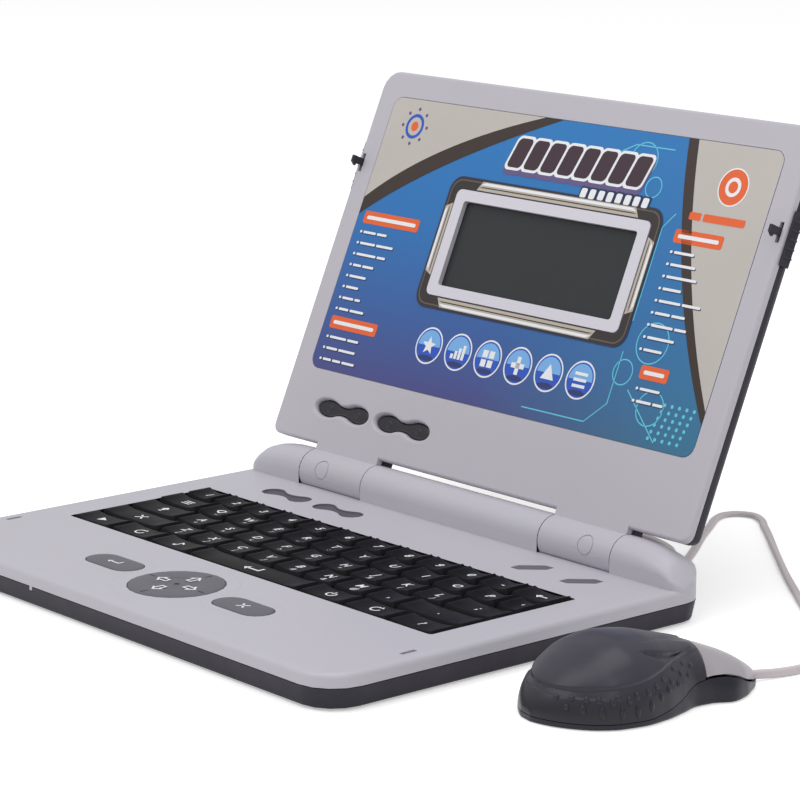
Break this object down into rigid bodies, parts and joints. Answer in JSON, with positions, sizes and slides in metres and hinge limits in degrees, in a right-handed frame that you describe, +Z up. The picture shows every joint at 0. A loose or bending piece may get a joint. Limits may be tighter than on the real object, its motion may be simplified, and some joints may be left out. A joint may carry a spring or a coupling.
{
  "type": "toy laptop computer",
  "caption": "Folding toy laptop with a keyboard, an arrow pad, a small display in a printed lid panel and a ball mouse on a cord.",
  "frame": {"origin": "centre of the case's flat underside; the rubber feet stand 1 mm below it", "axes": "+X to the right along the case's front edge, +Y from the front edge to the hinge, +Z up"},
  "size_m": [0.3761, 0.3496, 0.2028],
  "materials": {
    "pale_shell": "fine satin",
    "dark_shell": "satin",
    "grey_button": "satin",
    "black_key": "satin",
    "rubber": "matte",
    "circuit_board": "coated",
    "steel": "plain",
    "cell": "gloss sleeve",
    "printed_sheet": "printed, clear coated",
    "display": "polished",
    "mouse_shell": "semi-gloss",
    "silver": "metallic paint",
    "cord": "soft vinyl"
  },
  "bodies": {
    "base": {"base_lower_case": "dark_shell", "base_upper_case": "pale_shell", "rubber_foot_1": "rubber", "rubber_foot_2": "rubber", "rubber_foot_3": "rubber", "rubber_foot_4": "rubber", "deck_inlay_1": "grey_button", "deck_inlay_2": "grey_button", "deck_bar_1": "grey_button", "deck_bar_2": "grey_button", "hinge_pin_left": "steel", "hinge_pin_right": "steel", "cord_gland": "rubber", "main_circuit_board": "circuit_board", "key_contact_mat": "rubber", "speaker": "steel", "battery_cell_1": "cell", "battery_cell_2": "cell", "battery_cell_3": "cell", "battery_door": "dark_shell", "battery_door_screw": "steel", "mouse_base": "dark_shell", "mouse_shell": "mouse_shell", "mouse_ball_ring": "dark_shell", "mouse_cord": "cord"},
    "lid": {"lid_front_panel": "pale_shell", "lid_back_cover": "dark_shell", "overlay_sheet": "printed_sheet", "display_panel": "display", "display_board": "circuit_board"},
    "latch_slider_left": {"latch_slider_left": "dark_shell"},
    "latch_slider_right": {"latch_slider_right": "dark_shell"},
    "lid_rocker_1": {"lid_rocker_1": "rubber"},
    "lid_rocker_2": {"lid_rocker_2": "rubber"},
    "number_key_comb": {"number_key_comb": "black_key"},
    "upper_letter_key_comb": {"upper_letter_key_comb": "black_key"},
    "middle_letter_key_comb": {"middle_letter_key_comb": "black_key"},
    "lower_letter_key_comb": {"lower_letter_key_comb": "black_key"},
    "key_backspace": {"key_backspace": "black_key"},
    "key_mode": {"key_mode": "black_key"},
    "key_accent": {"key_accent": "black_key"},
    "key_capslock": {"key_capslock": "black_key"},
    "key_quote": {"key_quote": "black_key"},
    "key_all_clear": {"key_all_clear": "black_key"},
    "key_full_stop": {"key_full_stop": "black_key"},
    "key_play": {"key_play": "black_key"},
    "key_repeat_left": {"key_repeat_left": "black_key"},
    "key_music": {"key_music": "black_key"},
    "key_enter_bar": {"key_enter_bar": "black_key"},
    "key_off": {"key_off": "black_key"},
    "key_repeat_right": {"key_repeat_right": "black_key"},
    "key_help": {"key_help": "black_key"},
    "button_enter": {"button_enter": "grey_button"},
    "button_escape": {"button_escape": "grey_button"},
    "arrow_pad_pivot": {"arrow_pad_pivot": "dark_shell"},
    "arrow_pad": {"arrow_pad": "grey_button"},
    "mouse_button_left": {"mouse_button_left": "silver"},
    "mouse_button_right": {"mouse_button_right": "silver"},
    "mouse_ball": {"mouse_ball": "rubber"}
  },
  "joints": [
    {"name": "lid_hinge", "type": "hinge", "parent": "base", "child": "lid", "pos_m": [0, 0.09375, 0.02], "axis": [1, 0, 0], "range_deg": [-20, 113.5]},
    {"name": "latch_left_slide", "type": "slide", "parent": "lid", "child": "latch_slider_left", "axis": [0, 0.3987, 0.9171], "range_m": [-0.0012, 0.0025]},
    {"name": "latch_right_slide", "type": "slide", "parent": "lid", "child": "latch_slider_right", "axis": [0, 0.3987, 0.9171], "range_m": [-0.0012, 0.0025]},
    {"name": "rocker_1_tilt", "type": "hinge", "parent": "lid", "child": "lid_rocker_1", "pos_m": [-0.0938, 0.10363, 0.04798], "axis": [0, 0.3987, 0.9171], "range_deg": [-2.5, 2.5], "stiffness_Nm_per_rad": 0.03},
    {"name": "rocker_2_tilt", "type": "hinge", "parent": "lid", "child": "lid_rocker_2", "pos_m": [-0.05, 0.10363, 0.04798], "axis": [0, 0.3987, 0.9171], "range_deg": [-2.5, 2.5], "stiffness_Nm_per_rad": 0.03},
    {"name": "number_key_comb_press", "type": "slide", "parent": "base", "child": "number_key_comb", "axis": [0, 0, -1], "range_m": [0, 0.001], "stiffness_N_per_m": 300, "springref_m": -0.002},
    {"name": "upper_letter_key_comb_press", "type": "slide", "parent": "base", "child": "upper_letter_key_comb", "axis": [0, 0, -1], "range_m": [0, 0.001], "stiffness_N_per_m": 300, "springref_m": -0.002},
    {"name": "middle_letter_key_comb_press", "type": "slide", "parent": "base", "child": "middle_letter_key_comb", "axis": [0, 0, -1], "range_m": [0, 0.001], "stiffness_N_per_m": 300, "springref_m": -0.002},
    {"name": "lower_letter_key_comb_press", "type": "slide", "parent": "base", "child": "lower_letter_key_comb", "axis": [0, 0, -1], "range_m": [0, 0.001], "stiffness_N_per_m": 300, "springref_m": -0.002},
    {"name": "key_backspace_press", "type": "slide", "parent": "base", "child": "key_backspace", "axis": [0, 0, -1], "range_m": [0, 0.001], "stiffness_N_per_m": 300, "springref_m": -0.002},
    {"name": "key_mode_press", "type": "slide", "parent": "base", "child": "key_mode", "axis": [0, 0, -1], "range_m": [0, 0.001], "stiffness_N_per_m": 300, "springref_m": -0.002},
    {"name": "key_accent_press", "type": "slide", "parent": "base", "child": "key_accent", "axis": [0, 0, -1], "range_m": [0, 0.001], "stiffness_N_per_m": 300, "springref_m": -0.002},
    {"name": "key_capslock_press", "type": "slide", "parent": "base", "child": "key_capslock", "axis": [0, 0, -1], "range_m": [0, 0.001], "stiffness_N_per_m": 300, "springref_m": -0.002},
    {"name": "key_quote_press", "type": "slide", "parent": "base", "child": "key_quote", "axis": [0, 0, -1], "range_m": [0, 0.001], "stiffness_N_per_m": 300, "springref_m": -0.002},
    {"name": "key_all_clear_press", "type": "slide", "parent": "base", "child": "key_all_clear", "axis": [0, 0, -1], "range_m": [0, 0.001], "stiffness_N_per_m": 300, "springref_m": -0.002},
    {"name": "key_full_stop_press", "type": "slide", "parent": "base", "child": "key_full_stop", "axis": [0, 0, -1], "range_m": [0, 0.001], "stiffness_N_per_m": 300, "springref_m": -0.002},
    {"name": "key_play_press", "type": "slide", "parent": "base", "child": "key_play", "axis": [0, 0, -1], "range_m": [0, 0.001], "stiffness_N_per_m": 300, "springref_m": -0.002},
    {"name": "key_repeat_left_press", "type": "slide", "parent": "base", "child": "key_repeat_left", "axis": [0, 0, -1], "range_m": [0, 0.001], "stiffness_N_per_m": 300, "springref_m": -0.002},
    {"name": "key_music_press", "type": "slide", "parent": "base", "child": "key_music", "axis": [0, 0, -1], "range_m": [0, 0.001], "stiffness_N_per_m": 300, "springref_m": -0.002},
    {"name": "key_enter_bar_press", "type": "slide", "parent": "base", "child": "key_enter_bar", "axis": [0, 0, -1], "range_m": [0, 0.001], "stiffness_N_per_m": 300, "springref_m": -0.002},
    {"name": "key_off_press", "type": "slide", "parent": "base", "child": "key_off", "axis": [0, 0, -1], "range_m": [0, 0.001], "stiffness_N_per_m": 300, "springref_m": -0.002},
    {"name": "key_repeat_right_press", "type": "slide", "parent": "base", "child": "key_repeat_right", "axis": [0, 0, -1], "range_m": [0, 0.001], "stiffness_N_per_m": 300, "springref_m": -0.002},
    {"name": "key_help_press", "type": "slide", "parent": "base", "child": "key_help", "axis": [0, 0, -1], "range_m": [0, 0.001], "stiffness_N_per_m": 300, "springref_m": -0.002},
    {"name": "button_enter_press", "type": "slide", "parent": "base", "child": "button_enter", "axis": [0, 0, -1], "range_m": [0, 0.001], "stiffness_N_per_m": 300, "springref_m": -0.002},
    {"name": "button_escape_press", "type": "slide", "parent": "base", "child": "button_escape", "axis": [0, 0, -1], "range_m": [0, 0.001], "stiffness_N_per_m": 300, "springref_m": -0.002},
    {"name": "arrow_pad_roll", "type": "hinge", "parent": "base", "child": "arrow_pad_pivot", "pos_m": [0, -0.0668, 0.0122], "axis": [0, 1, 0], "range_deg": [-1.2, 1.2], "stiffness_Nm_per_rad": 0.05},
    {"name": "arrow_pad_pitch", "type": "hinge", "parent": "arrow_pad_pivot", "child": "arrow_pad", "pos_m": [0, -0.0668, 0.0122], "axis": [1, 0, 0], "range_deg": [-1.2, 1.2], "stiffness_Nm_per_rad": 0.05},
    {"name": "mouse_button_left_press", "type": "hinge", "parent": "base", "child": "mouse_button_left", "pos_m": [0.21024, 0.02545, 0.018], "axis": [-0.9759, 0.2181, 0], "range_deg": [0, 1.2], "stiffness_Nm_per_rad": 0.06, "springref_deg": -2.86},
    {"name": "mouse_button_right_press", "type": "hinge", "parent": "base", "child": "mouse_button_right", "pos_m": [0.21024, 0.02545, 0.018], "axis": [-0.9759, 0.2181, 0], "range_deg": [0, 1.2], "stiffness_Nm_per_rad": 0.06, "springref_deg": -2.86},
    {"name": "mouse_ball_roll", "type": "hinge", "parent": "base", "child": "mouse_ball", "pos_m": [0.20435, -0.0009, 0.0065], "axis": [0.9759, -0.2181, 0], "continuous": true}
  ]
}
